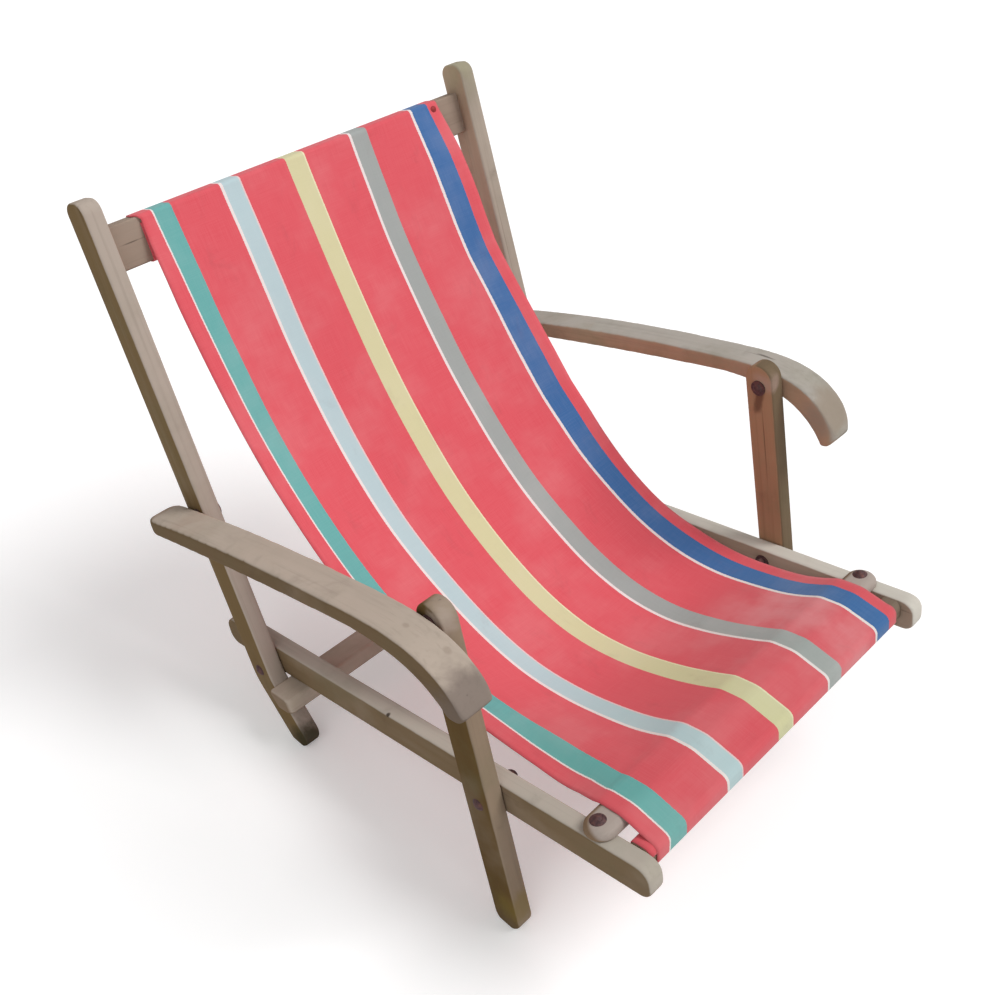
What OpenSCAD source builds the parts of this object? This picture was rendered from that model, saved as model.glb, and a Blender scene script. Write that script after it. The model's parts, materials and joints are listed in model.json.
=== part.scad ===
// Low folding deck chair: a timber frame with two armrests and a canvas sling.
//
// Side views are drawn in seat coordinates. The first number runs rearward along the top edge of the
// seat rails and the second stands square to it. Both are zero where the front edge of a back post
// crosses that top edge. placed() then tips the chair onto its four feet, with +Z up and -Y forward.
// Pieces are drawn on the +X side and mirrored for the other one.

/* [Layers across the chair] */
// Half of the clear width between the seat rails
rail_inner_x = 230; // [180:1:280]
// Thickness of the boards: rails, posts and legs
board_t = 22; // [16:0.5:30]
// Gap beside a rail, so that posts and legs turn freely
layer_gap = 0.5; // [0.3:0.1:2]
// Thickness of the spacer washers inside the armrests
spacer_t = 2.5; // [1:0.1:6]
// Width of an armrest, seen from above
arm_w = 42; // [30:1:60]

/* [Seat frame] */
// Slope of the seat rails, front end up
rail_pitch = 12.4; // [6:0.1:18]
// Height of the rails' top edge where the back posts cross it
rail_lift = 118.5; // [100:0.5:150]
// Depth of a seat rail
rail_depth = 40; // [34:1:60]
// Length of a seat rail ahead of the back posts' front edge
rail_front = 582; // [520:1:680]
// Length of a seat rail behind the back posts' front edge
rail_rear = 113; // [80:1:180]
// Radius on the corners at the front ends of the rails
rail_front_r = 15; // [4:0.5:17]
// Radius on the corners at the rear ends of the rails
rail_rear_r = 16; // [4:0.5:17]
// Setback of the front rail behind the tips of the seat rails
front_rail_setback = 16; // [8:1:40]
// Width of the front rail, front to back
front_rail_w = 23; // [20:1:45]
// Height of the front rail
front_rail_h = 26; // [18:1:32]
// Radius on the front corners of the front rail
front_rail_r = 9; // [3:0.5:12]
// Drop of the front rail's top below the top edge of the seat rails
front_rail_drop = 1.2; // [0:0.1:6]
// Radius of the round tenons on the front rail
front_tenon_r = 8; // [4:0.5:9]
// Depth of the blind mortises for rails that run between the sides
tenon_l = 12; // [6:0.5:18]

/* [Crossbars] */
// Setback of the front crossbar behind the tips of the seat rails
front_bar_setback = 53; // [50:1:120]
// Width of the front crossbar, front to back
front_bar_w = 37; // [25:1:60]
// Thickness of the front crossbar
front_bar_t = 12.6; // [8:0.2:20]
// Radius on the corners of the front crossbar, seen from above
front_bar_r = 18; // [2:0.5:18]
// Half of the length of the rear crossbar, which stops the back posts
rear_bar_reach = 284; // [276:1:300]
// Thickness of the rear crossbar
rear_bar_t = 23; // [14:0.5:30]
// Distance from the back posts to the front face of the rear crossbar
rear_bar_w = 39; // [25:1:60]
// Radius on the front corners of the rear crossbar, seen from above
rear_bar_r = 8; // [2:0.5:12]

/* [Back frame] */
// Rearward lean of the back posts from square to the seat rails
post_lean = 7.07; // [3:0.01:12]
// Depth of a back post, front to back
post_depth = 37; // [30:0.5:45]
// Length of a back post above the seat rail
post_top = 559; // [480:1:650]
// Radius on the corners at the top of a back post
post_top_r = 13; // [3:0.5:15]
// Length of straight post below the rail's top edge
post_straight_l = 25; // [18:0.5:40]
// Radius of the bend on the front edge of a post
foot_curve_r = 40; // [15:1:80]
// Forward bend of the foot of a post
foot_bend = 22; // [15:0.5:30]
// Thickness of the top rail
top_rail_t = 19.5; // [14:0.5:26]
// Height of the top rail
top_rail_h = 48; // [30:1:60]
// Distance from the top rail up to the ends of the posts
top_rail_drop = 34; // [16:1:60]
// Thickness of the top rail's tenons
top_tenon_t = 10; // [6:0.5:12]
// Height of the top rail's tenons
top_tenon_h = 30; // [16:1:36]

/* [Front legs] */
// Distance from the back posts' front edge forward to the legs' front edge
leg_ahead = 390.4; // [340:0.2:440]
// Rearward lean of the front legs from square to the seat rails
leg_lean = 2.41; // [0:0.01:6]
// Depth of a front leg, front to back
leg_depth = 37.5; // [30:0.5:45]
// Height of the middle of a leg's round top above the rail's top edge
leg_top = 224.5; // [215:0.5:235]
// Length worn off the top of the left front leg
leg_top_worn = 8; // [0:0.5:9]
// Wood worn off the round feet where they stand on the ground
foot_wear = 2.5; // [1:0.1:5]

/* [Armrests] */
// Height of the rear arm pivot up the post, from the rail's top edge
arm_rear_h = 196; // [150:1:230]
// Distance from the post's front edge back to the rear arm pivot
arm_rear_in = 13; // [12:0.5:22]
// Height of the front arm pivot up the leg, from the rail's top edge
arm_front_h = 215; // [206:0.5:218]
// Distance from the leg's front edge back to the front arm pivot
arm_front_in = 19; // [16:0.5:24]
// Height of the rear arm pivot above the armrest's middle line
arm_lift_rear = 1.5; // [0:0.1:3]
// Height of the front arm pivot above the armrest's middle line
arm_lift_front = 5.6; // [0:0.1:8]
// Length of an armrest behind its rear pivot
arm_tail = 44; // [26:1:60]
// Length of an armrest ahead of its front pivot
arm_nose = 84; // [70:1:110]
// Height of the top surface above the middle line, at the rear pivot
arm_top_rear = 11; // [9:0.5:16]
// Height of the top surface above that line, at mid length
arm_top_mid = 24; // [18:0.5:34]
// Depth of the bottom surface below that line, at the rear pivot
arm_under_rear = 10; // [8:0.5:16]
// Height of the bottom surface above that line, at mid length
arm_under_mid = 1; // [-6:0.5:6]
// Depth of the scrolled front end below that line
arm_scroll = 68; // [45:1:90]
// Thickness of the scrolled front end
arm_scroll_t = 22; // [16:0.5:30]
// Radius on the front corners of an armrest, seen from above
arm_nose_r = 12; // [2:0.5:16]
// Radius on the rear corners of an armrest, seen from above
arm_tail_r = 17; // [2:0.5:20]

/* [Bolts and screws] */
// Height of the back pivot along the post, below the rail's top edge
back_pivot_drop = 24; // [16:0.5:30]
// Distance from the post's front edge back to the back pivot
back_pivot_in = 18; // [14:0.5:24]
// Height of the leg pivot along the leg, below the rail's top edge
leg_pivot_drop = 17; // [12:0.5:24]
// Distance from the leg's front edge back to the leg pivot
leg_pivot_in = 17; // [14:0.5:24]
// Radius of the pivot bolts' shanks
bolt_r = 4; // [3:0.1:6]
// Radius of the pivot bolts' domed heads
bolt_head_r = 7.5; // [7:0.1:10]
// Height of the domed heads
bolt_head_h = 3.2; // [2:0.1:5]
// Width across the flats of the nuts
nut_af = 13; // [11:0.5:17]
// Height of the nuts
nut_h = 6.5; // [4:0.5:10]
// Length of bolt that stands past a nut
bolt_tail = 2.5; // [0:0.5:6]
// Radius of the flat washers and the spacer washers
washer_r = 9.4; // [8.5:0.1:12]
// Thickness of the flat washers
washer_t = 1.5; // [1:0.1:3]
// Radius of the arm screws' shanks
arm_screw_r = 3.5; // [2.5:0.1:4.5]
// Length of an arm screw inside the armrest
arm_screw_bite = 28; // [15:1:36]
// Radius of the crossbar screws' shanks
wood_screw_r = 2.2; // [1.5:0.1:3]
// Length of a crossbar screw inside the seat rail
wood_screw_bite = 26; // [12:1:30]
// Radius of the crossbar screws' heads
wood_screw_head_r = 4.6; // [3.5:0.1:6]
// Radius of the cup washers on the front crossbar
cup_r = 8.7; // [6.5:0.1:11]
// Height of the cup washers
cup_h = 2.4; // [1.5:0.1:4]
// Distance from a seat rail's outer face in to the crossbar screws
wood_screw_edge = 16; // [9:0.5:16]

/* [Canvas] */
// Gap between each edge of the canvas and the seat rail beside it
canvas_edge_gap = 15; // [11:1:50]
// Thickness of the canvas
canvas_t = 1.2; // [0.6:0.1:3]
// Space between the canvas and the wood that it lies on
canvas_gap = 0.3; // [0.2:0.1:1]
// Height of the slack sling above the seat rails' top edge, at the turn between back and seat
sling_turn_h = 136; // [110:1:170]
// Distance of that turn ahead of the back posts' front edge
sling_turn_ahead = 90; // [60:1:120]
// Steepness of the sling at that turn, against the seat rails
sling_turn_slope = 52; // [40:1:65]
// Distance that the sling comes forward as it leaves the top rail
sling_lead_l = 18; // [8:1:30]
// Pull of the seat part of the sling below the rails' top edge, which sets how low it hangs
sling_sag = 60; // [20:1:80]
// Radius of the tack's head
tack_r = 4.5; // [3:0.1:6]
// Height of the tack's head
tack_h = 1.8; // [1:0.1:3]

/* [Fits] */
// Radial clearance of a pivot in its bore
run_fit = 0.05; // [0.02:0.01:0.1]
// Radial clearance of pieces that are fixed in their bores
fixed_fit = 0.02; // [0.01:0.01:0.1]
// Radial clearance at the arms' front pivots, which takes up the play of the folding linkage
loose_fit = 1.8; // [1.3:0.1:2.5]
// Clearance between a turning board and the head or washer beside it
face_fit = 0.1; // [0.05:0.05:0.3]
// Clearance between the back posts and the rear crossbar that they lean on
stop_fit = 0.1; // [0.05:0.05:0.5]

/* [Hidden] */
$fn = 48;
eps = 0.01;
timber = [0.55, 0.45, 0.36];
timber_top = [0.66, 0.60, 0.53];
metal = [0.32, 0.24, 0.22];
cloth = [0.86, 0.40, 0.42];

rail_outer_x = rail_inner_x + board_t;
side_inner_x = rail_outer_x + layer_gap;
side_outer_x = side_inner_x + board_t;
arm_inner_x = side_outer_x + spacer_t;
arm_outer_x = arm_inner_x + arm_w;
screw_x = rail_outer_x - wood_screw_edge;
canvas_w = 2 * (rail_inner_x - canvas_edge_gap);

// Points fixed to a post or a leg, as seat coordinates
function leaned(p, lean) = [p[0] * cos(lean) + p[1] * sin(lean), p[1] * cos(lean) - p[0] * sin(lean)];
function on_post(p) = leaned(p, post_lean);
function on_leg(p) = leaned(p, leg_lean) - [leg_ahead, 0];
function height(p) = rail_lift + p[1] * cos(rail_pitch) - p[0] * sin(rail_pitch);
function across(p) = p[0] * cos(rail_pitch) + p[1] * sin(rail_pitch);

back_pivot = on_post([back_pivot_in, -back_pivot_drop]);
leg_pivot = on_leg([leg_pivot_in, -leg_pivot_drop]);
arm_rear = on_post([arm_rear_in, arm_rear_h]);
arm_front = on_leg([arm_front_in, arm_front_h]);
arm_from = arm_rear - [0, arm_lift_rear];
arm_to = arm_front - [0, arm_lift_front];
arm_span = norm(arm_to - arm_from);
arm_tilt = atan2(arm_to[1] - arm_from[1], arm_from[0] - arm_to[0]);

// Feet: each runs down until its round end stands foot_wear into the ground
leg_foot_from = on_leg([leg_depth / 2, 0]);
leg_foot_l = (height(leg_foot_from) - leg_depth / 2 + foot_wear) / cos(leg_lean + rail_pitch);
bend_middle_r = foot_curve_r + post_depth / 2;
bend_end = [-foot_curve_r + bend_middle_r * cos(foot_bend), -post_straight_l - bend_middle_r * sin(foot_bend)];
foot_slope = post_lean + foot_bend + rail_pitch;
post_foot_l = (height(on_post(bend_end)) - post_depth / 2 + foot_wear) / cos(foot_slope);

// The box of the whole chair is centred front to back
front_tip = across([rail_front_r - rail_front, rail_front_r - rail_depth]) - rail_front_r;
rear_tip = across(on_post([post_depth - post_top_r, post_top - post_top_r])) + post_top_r;
centre_y = (front_tip + rear_tip) / 2;

// The top rail, in post coordinates
top_rail_top = post_top - top_rail_drop;
top_rail_front = post_depth - top_rail_t;

// Side views of the two rails that the canvas wraps
front_rail_at = [front_rail_setback - rail_front, -front_rail_drop - front_rail_h];
front_bar_at = front_bar_setback - rail_front;
canvas_lift = canvas_gap + canvas_t / 2;

// Rear crossbar: its rear face follows the front edge of the posts' feet
foot_edge_top = on_post([-foot_curve_r + foot_curve_r * cos(foot_bend), -post_straight_l - foot_curve_r * sin(foot_bend)]);
foot_edge_slope = tan(post_lean + foot_bend);
function foot_edge(z) = foot_edge_top[0] + (z - foot_edge_top[1]) * foot_edge_slope;
stop_gap_y = stop_fit / cos(post_lean + foot_bend);

// Placing

module placed() {
  translate([0, -centre_y, rail_lift])
    rotate([-rail_pitch, 0, 0])
      children();
}

module left() {
  mirror([1, 0, 0])
    children();
}

module both() {
  children();
  left()
    children();
}

// Cuts everything below the ground
module on_ground() {
  room = 4 * (rail_front + post_top);
  intersection() {
    placed()
      children();
    translate([-room / 2, -room / 2, 0])
      cube([room, room, room]);
  }
}

// A side view, given thickness from x0 to x1
module board(x0, x1) {
  translate([x0, 0, 0])
    rotate([90, 0, 90])
      linear_extrude(height = x1 - x0)
        children();
}

// A pin across the chair through the point p of the side view
module pin(p, x0, x1, r) {
  translate([x0, p[0], p[1]])
    rotate([0, 90, 0])
      cylinder(r = r, h = x1 - x0);
}

module washer(p, x0, x1, hole_r) {
  difference() {
    pin(p, x0, x1, washer_r);
    pin(p, x0 - 1, x1 + 1, hole_r);
  }
}

// A domed head whose flat side lies on z = 0
module dome(r, h) {
  ball = (r * r + h * h) / (2 * h);
  intersection() {
    translate([0, 0, h - ball])
      sphere(r = ball);
    cylinder(r = r + 1, h = h + 1);
  }
}

// Profiles

module rounded_rect(w, h, r_low, r_high) {
  union() {
    translate([r_low, 0])
      square([w - r_low - r_high, h]);
    translate([0, r_low])
      square([r_low, h - 2 * r_low]);
    translate([w - r_high, r_high])
      square([r_high, h - 2 * r_high]);
    for (y = [r_low, h - r_low])
      translate([r_low, y])
        circle(r = r_low);
    for (y = [r_high, h - r_high])
      translate([w - r_high, y])
        circle(r = r_high);
  }
}

function bezier(p, steps) = [
  for (i = [0:steps])
    let (t = i / steps, s = 1 - t)
      s * s * s * p[0] + 3 * s * s * t * p[1] + 3 * s * t * t * p[2] + t * t * t * p[3]
];

// A strip of even thickness along a line of points
function unit_normal(a, b) = [a[1] - b[1], b[0] - a[0]] / norm(b - a);
function strip_side(p, d) = [
  for (i = [0:len(p) - 1])
    p[i] + d * unit_normal(p[max(i - 1, 0)], p[min(i + 1, len(p) - 1)])
];
module strip(p, t) {
  one = strip_side(p, t / 2);
  other = strip_side(p, -t / 2);
  polygon(concat(one, [for (i = [len(p) - 1:-1:0]) other[i]]));
}

// Seat frame

module rail_side() {
  translate([-rail_front, -rail_depth])
    rounded_rect(rail_front + rail_rear, rail_depth, rail_front_r, rail_rear_r);
}

module front_rail_side(grow) {
  r = front_rail_r + grow;
  translate([-grow, -grow])
    rounded_rect(front_rail_w + 2 * grow, front_rail_h + 2 * grow, r, 2 + grow);
}

module front_rail_tenon(fit) {
  translate([rail_inner_x - eps, front_rail_at[0] + front_rail_w / 2, front_rail_at[1] + front_rail_h / 2])
    rotate([0, 90, 0])
      cylinder(r = front_tenon_r + fit, h = tenon_l + eps + 4 * fit);
}

module front_screw_spot() {
  translate([screw_x, front_bar_at + front_bar_w / 2 + 2, 0])
    children();
}

module rear_screw_spot() {
  translate([screw_x, foot_edge(-rail_depth) - rear_bar_w / 2, -rail_depth])
    children();
}

module rail_bores() {
  front_rail_tenon(fixed_fit);
  for (p = [back_pivot, leg_pivot])
    pin(p, rail_inner_x - 1, rail_outer_x + 1, bolt_r + fixed_fit);
  front_screw_spot()
    translate([0, 0, -wood_screw_bite - 1])
      cylinder(r = wood_screw_r + fixed_fit, h = wood_screw_bite + 2);
  rear_screw_spot()
    translate([0, 0, -1])
      cylinder(r = wood_screw_r + fixed_fit, h = wood_screw_bite + 2);
}

module seat_rail() {
  placed()
    difference() {
      board(rail_inner_x, rail_outer_x)
        rail_side();
      rail_bores();
    }
}

module seat_rail_left() {
  color(timber)
    left()
      seat_rail();
}

module seat_rail_right() {
  color(timber)
    seat_rail();
}

module front_rail() {
  color(timber)
    placed()
      union() {
        board(-rail_inner_x, rail_inner_x)
          translate(front_rail_at)
            front_rail_side(0);
        both()
          front_rail_tenon(0);
      }
}

module front_crossbar() {
  color(timber_top)
    placed()
      difference() {
        translate([-rail_outer_x, front_bar_at, 0])
          linear_extrude(height = front_bar_t)
            rounded_rect(2 * rail_outer_x, front_bar_w, front_bar_r, front_bar_r);
        both()
          front_screw_spot()
            translate([0, 0, -1])
              cylinder(r = wood_screw_r + fixed_fit, h = front_bar_t + 2);
      }
}

module rear_bar_side() {
  top = -rail_depth;
  bottom = top - rear_bar_t;
  front = foot_edge(top) - rear_bar_w;
  polygon([[front, bottom], [foot_edge(bottom) - stop_gap_y, bottom],
           [foot_edge(top) - stop_gap_y, top], [front, top]]);
}

module rear_crossbar() {
  front = foot_edge(-rail_depth) - rear_bar_w;
  color(timber)
    placed()
      difference() {
        intersection() {
          board(-rear_bar_reach, rear_bar_reach)
            rear_bar_side();
          translate([-rear_bar_reach, front, -rail_depth - rear_bar_t - 1])
            linear_extrude(height = rear_bar_t + 2)
              rounded_rect(2 * rear_bar_reach, 2 * rear_bar_w, rear_bar_r, rear_bar_r);
        }
        both()
          rear_screw_spot()
            translate([0, 0, -rear_bar_t - 1])
              cylinder(r = wood_screw_r + fixed_fit, h = rear_bar_t + 2);
      }
}

// A round-headed wood screw that hangs down from z = 0
module wood_screw(shank) {
  union() {
    dome(wood_screw_head_r, 2.4);
    translate([0, 0, -shank])
      cylinder(r = wood_screw_r, h = shank + eps);
  }
}

module front_crossbar_screws() {
  color(metal)
    placed()
      both()
        front_screw_spot()
          translate([0, 0, front_bar_t + cup_h])
            wood_screw(front_bar_t + cup_h + wood_screw_bite);
}

module front_cup_washers() {
  color(metal)
    placed()
      both()
        front_screw_spot()
          translate([0, 0, front_bar_t])
            difference() {
              cylinder(r1 = cup_r, r2 = wood_screw_head_r + 1, h = cup_h);
              translate([0, 0, -1])
                cylinder(r = wood_screw_r + fixed_fit, h = cup_h + 2);
            }
}

module rear_crossbar_screws() {
  color(metal)
    placed()
      both()
        rear_screw_spot()
          translate([0, 0, -rear_bar_t])
            mirror([0, 0, 1])
              wood_screw(rear_bar_t + wood_screw_bite);
}

// Back frame

module post_bend() {
  reach = 2 * (foot_curve_r + post_depth);
  translate([-foot_curve_r, -post_straight_l])
    intersection() {
      difference() {
        circle(r = foot_curve_r + post_depth);
        circle(r = foot_curve_r);
      }
      polygon([[0, 0], [reach, 0], [reach * cos(foot_bend), -reach * sin(foot_bend)]]);
    }
}

module post_foot() {
  translate([-foot_curve_r, -post_straight_l])
    rotate(-foot_bend)
      translate([foot_curve_r, -post_foot_l]) {
        square([post_depth, post_foot_l]);
        translate([post_depth / 2, 0])
          circle(r = post_depth / 2);
      }
}

module post_side() {
  rotate(-post_lean)
    union() {
      translate([0, -post_straight_l])
        square([post_depth, post_top + post_straight_l - post_top_r]);
      translate([post_top_r, post_top - post_top_r - eps])
        square([post_depth - 2 * post_top_r, post_top_r + eps]);
      for (x = [post_top_r, post_depth - post_top_r])
        translate([x, post_top - post_top_r])
          circle(r = post_top_r);
      post_bend();
      post_foot();
    }
}

module top_rail_side(grow) {
  rotate(-post_lean)
    translate([top_rail_front - grow, top_rail_top - top_rail_h - grow])
      rounded_rect(top_rail_t + 2 * grow, top_rail_h + 2 * grow, 2 + grow, 2 + grow);
}

module top_rail_tenon(fit) {
  board(side_inner_x - eps, side_inner_x + tenon_l + 2 * fit)
    rotate(-post_lean)
      translate([top_rail_front + (top_rail_t - top_tenon_t) / 2 - fit,
                 top_rail_top - (top_rail_h + top_tenon_h) / 2 - fit])
        square([top_tenon_t + 2 * fit, top_tenon_h + 2 * fit]);
}

module back_post() {
  on_ground()
    difference() {
      board(side_inner_x, side_outer_x)
        post_side();
      top_rail_tenon(fixed_fit);
      pin(back_pivot, side_inner_x - 1, side_outer_x + 1, bolt_r + run_fit);
      pin(arm_rear, side_inner_x - 1, side_outer_x + 1, arm_screw_r + run_fit);
    }
}

module back_post_left() {
  color(timber)
    left()
      back_post();
}

module back_post_right() {
  color(timber)
    back_post();
}

module top_rail() {
  color(timber)
    placed()
      union() {
        board(-side_inner_x, side_inner_x)
          top_rail_side(0);
        both()
          top_rail_tenon(0);
      }
}

// Front legs

module leg_side(top) {
  translate([-leg_ahead, 0])
    rotate(-leg_lean)
      union() {
        translate([0, -leg_foot_l])
          square([leg_depth, leg_foot_l + top]);
        for (y = [-leg_foot_l, top])
          translate([leg_depth / 2, y])
            circle(r = leg_depth / 2);
      }
}

module front_leg(top) {
  on_ground()
    difference() {
      board(side_inner_x, side_outer_x)
        leg_side(top);
      pin(leg_pivot, side_inner_x - 1, side_outer_x + 1, bolt_r + run_fit);
      pin(arm_front, side_inner_x - 1, side_outer_x + 1, arm_screw_r + loose_fit);
    }
}

module front_leg_left() {
  color(timber)
    left()
      front_leg(leg_top - leg_top_worn);
}

module front_leg_right() {
  color(timber)
    front_leg(leg_top);
}

// Armrests. The side view has its origin just below the rear pivot and runs forward along the middle line.

module in_arm_frame() {
  translate(arm_from)
    rotate(-arm_tilt)
      mirror([1, 0])
        children();
}

module arm_side() {
  nose = arm_span + arm_nose;
  under_nose = nose - arm_scroll_t;
  mid = arm_span / 2;
  brow = arm_span * 0.83;
  top_brow = arm_top_mid - 2;
  under_brow = arm_under_mid + 1.5;
  polygon(concat(
    bezier([[-arm_tail, -arm_under_rear + 2], [-arm_tail, arm_top_rear - 6],
            [-arm_tail + 2, arm_top_rear - 3], [-arm_tail + 10, arm_top_rear - 1.5]], 4),
    bezier([[-arm_tail + 12, arm_top_rear - 1], [mid / 2, arm_top_mid - 2],
            [mid, arm_top_mid + 1], [brow, top_brow]], 12),
    bezier([[brow + 1, top_brow], [arm_span, top_brow - 1],
            [nose - 14, top_brow - 8], [nose, 6 - arm_scroll]], 12),
    bezier([[nose, 5 - arm_scroll], [nose, -arm_scroll - 6],
            [under_nose, -arm_scroll - 6], [under_nose, 2 - arm_scroll]], 8),
    bezier([[under_nose, 3 - arm_scroll], [under_nose - 0.36 * arm_scroll, -arm_scroll / 7],
            [arm_span - 0.23 * arm_scroll, under_brow - 0.06 * arm_scroll], [brow, under_brow]], 12),
    bezier([[brow - 1, under_brow], [mid, arm_under_mid + 1],
            [mid / 3, -arm_under_rear / 3], [-arm_tail + 4, -arm_under_rear]], 12)));
}

module arm_plan() {
  nose_y = arm_from[0] - arm_span - arm_nose;
  tail_y = arm_from[0] + arm_tail;
  translate([arm_inner_x, nose_y])
    union() {
      translate([0, arm_nose_r])
        square([arm_w, tail_y - nose_y - arm_nose_r - arm_tail_r]);
      translate([arm_nose_r, 0])
        square([arm_w - 2 * arm_nose_r, arm_nose_r + eps]);
      for (x = [arm_nose_r, arm_w - arm_nose_r])
        translate([x, arm_nose_r])
          circle(r = arm_nose_r);
      translate([arm_tail_r, tail_y - nose_y - arm_tail_r - eps])
        square([arm_w - 2 * arm_tail_r, arm_tail_r + eps]);
      for (x = [arm_tail_r, arm_w - arm_tail_r])
        translate([x, tail_y - nose_y - arm_tail_r])
          circle(r = arm_tail_r);
    }
}

module arm() {
  low = arm_rear[1] - 2 * arm_scroll;
  placed()
    difference() {
      intersection() {
        board(arm_inner_x, arm_outer_x)
          in_arm_frame()
            arm_side();
        translate([0, 0, low])
          linear_extrude(height = 5 * arm_scroll)
            arm_plan();
      }
      for (p = [arm_rear, arm_front])
        pin(p, arm_inner_x - 1, arm_inner_x + arm_screw_bite + 1, arm_screw_r + fixed_fit);
    }
}

module arm_left() {
  color(timber_top)
    left()
      arm();
}

module arm_right() {
  color(timber_top)
    arm();
}

// Pivot bolts: the domed head is outside the post or leg, the nut inside the rail

module pivot_bolt(p) {
  union() {
    pin(p, rail_inner_x - washer_t - nut_h - bolt_tail, side_outer_x + face_fit + eps, bolt_r);
    translate([side_outer_x + face_fit, p[0], p[1]])
      rotate([0, 90, 0])
        dome(bolt_head_r, min(bolt_head_h, spacer_t - face_fit + 1));
  }
}

module pivot_nut(p) {
  x0 = rail_inner_x - washer_t - nut_h;
  difference() {
    translate([x0, p[0], p[1]])
      rotate([0, 90, 0])
        cylinder(r = nut_af / 2 / cos(30), h = nut_h, $fn = 6);
    pin(p, x0 - 1, x0 + nut_h + 1, bolt_r + fixed_fit);
  }
}

module pivot_washer(p) {
  washer(p, rail_inner_x - washer_t, rail_inner_x, bolt_r + fixed_fit);
}

module back_pivot_bolts() {
  color(metal)
    placed()
      both()
        pivot_bolt(back_pivot);
}

module back_pivot_washers() {
  color(metal)
    placed()
      both()
        pivot_washer(back_pivot);
}

module back_pivot_nuts() {
  color(metal)
    placed()
      both()
        pivot_nut(back_pivot);
}

module leg_pivot_bolts() {
  color(metal)
    placed()
      both()
        pivot_bolt(leg_pivot);
}

module leg_pivot_washers() {
  color(metal)
    placed()
      both()
        pivot_washer(leg_pivot);
}

module leg_pivot_nuts() {
  color(metal)
    placed()
      both()
        pivot_nut(leg_pivot);
}

// Arm screws: the head is inside the post or leg, and the point is in the armrest

module arm_screw(p) {
  head_x = side_inner_x - face_fit - washer_t;
  union() {
    pin(p, head_x - eps, arm_inner_x + arm_screw_bite, arm_screw_r);
    translate([head_x, p[0], p[1]])
      rotate([0, -90, 0])
        dome(washer_r - 3, 3);
  }
}

module arm_washer(p) {
  washer(p, side_inner_x - face_fit - washer_t, side_inner_x - face_fit, arm_screw_r + fixed_fit);
}

module arm_spacer(p) {
  washer(p, side_outer_x + face_fit, arm_inner_x, arm_screw_r + fixed_fit);
}

module arm_rear_screw_left() {
  color(metal)
    placed()
      left()
        arm_screw(arm_rear);
}

module arm_rear_screw_right() {
  color(metal)
    placed()
      arm_screw(arm_rear);
}

module arm_front_screw_left() {
  color(metal)
    placed()
      left()
        arm_screw(arm_front);
}

module arm_front_screw_right() {
  color(metal)
    placed()
      arm_screw(arm_front);
}

module arm_washer_pair() {
  for (p = [arm_rear, arm_front])
    arm_washer(p);
}

module arm_spacer_pair() {
  for (p = [arm_rear, arm_front])
    arm_spacer(p);
}

module arm_washers_left() {
  color(metal)
    placed()
      left()
        arm_washer_pair();
}

module arm_washers_right() {
  color(metal)
    placed()
      arm_washer_pair();
}

module arm_spacers_left() {
  color(metal)
    placed()
      left()
        arm_spacer_pair();
}

module arm_spacers_right() {
  color(metal)
    placed()
      arm_spacer_pair();
}

// Canvas: a loop round the top rail, a slack sling, and a loop round the front rail

sling_top = on_post([top_rail_front - 2 * canvas_lift - canvas_t / 2, top_rail_top - 2]);
sling_end = [front_bar_at + front_bar_w, front_bar_t + canvas_lift];
sling_turn = [-sling_turn_ahead, sling_turn_h];
sling_lead = [-sling_lead_l, 0.2 * (sling_turn_h - sling_top[1])];

module canvas_sheet() {
  board(-canvas_w / 2, canvas_w / 2)
    children();
}

module canvas_sling() {
  fall = sling_top[1] - sling_turn_h;
  run = sling_turn[0] - sling_end[0];
  along = [cos(sling_turn_slope), sin(sling_turn_slope)];
  color(cloth)
    placed()
      canvas_sheet()
        strip(concat(
          bezier([sling_top, sling_top + sling_lead,
                  sling_turn + 0.37 * fall * along, sling_turn + 3 * along], 12),
          bezier([sling_turn - 3 * along, sling_turn - 0.31 * run * along,
                  [sling_end[0] + 0.43 * run, -sling_sag], sling_end], 16)), canvas_t);
}

module canvas_front_wrap() {
  over = front_rail_at + [0.56 * front_rail_w, front_rail_h + canvas_lift];
  color(cloth)
    placed()
      canvas_sheet()
        union() {
          difference() {
            translate(front_rail_at)
              front_rail_side(canvas_gap + canvas_t);
            translate(front_rail_at)
              front_rail_side(canvas_gap);
          }
          strip(concat(
            [sling_end - [0.5, 0]],
            bezier([[front_bar_at, sling_end[1]], [front_bar_at - 5, sling_end[1]],
                    over + [7, 3.5], over], 8)), canvas_t);
        }
}

module canvas_top_wrap() {
  color(cloth)
    placed()
      canvas_sheet()
        difference() {
          top_rail_side(canvas_gap + canvas_t);
          top_rail_side(canvas_gap);
        }
}

module canvas_tack() {
  slope = 180 + atan2(sling_lead[0], sling_lead[1]);
  lift = canvas_lift;
  spot = sling_top + 6 * sling_lead / norm(sling_lead) + lift * [-cos(slope), sin(slope)];
  color(metal)
    placed()
      translate([canvas_w / 2 - 8, spot[0], spot[1]])
        rotate([90 - slope, 0, 0])
          dome(tack_r, tack_h);
}

seat_rail_left();
seat_rail_right();
front_rail();
front_crossbar();
rear_crossbar();
front_crossbar_screws();
front_cup_washers();
rear_crossbar_screws();
back_post_left();
back_post_right();
top_rail();
front_leg_left();
front_leg_right();
arm_left();
arm_right();
back_pivot_bolts();
back_pivot_washers();
back_pivot_nuts();
leg_pivot_bolts();
leg_pivot_washers();
leg_pivot_nuts();
arm_rear_screw_left();
arm_rear_screw_right();
arm_front_screw_left();
arm_front_screw_right();
arm_washers_left();
arm_washers_right();
arm_spacers_left();
arm_spacers_right();
canvas_sling();
canvas_front_wrap();
canvas_top_wrap();
canvas_tack();
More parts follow.
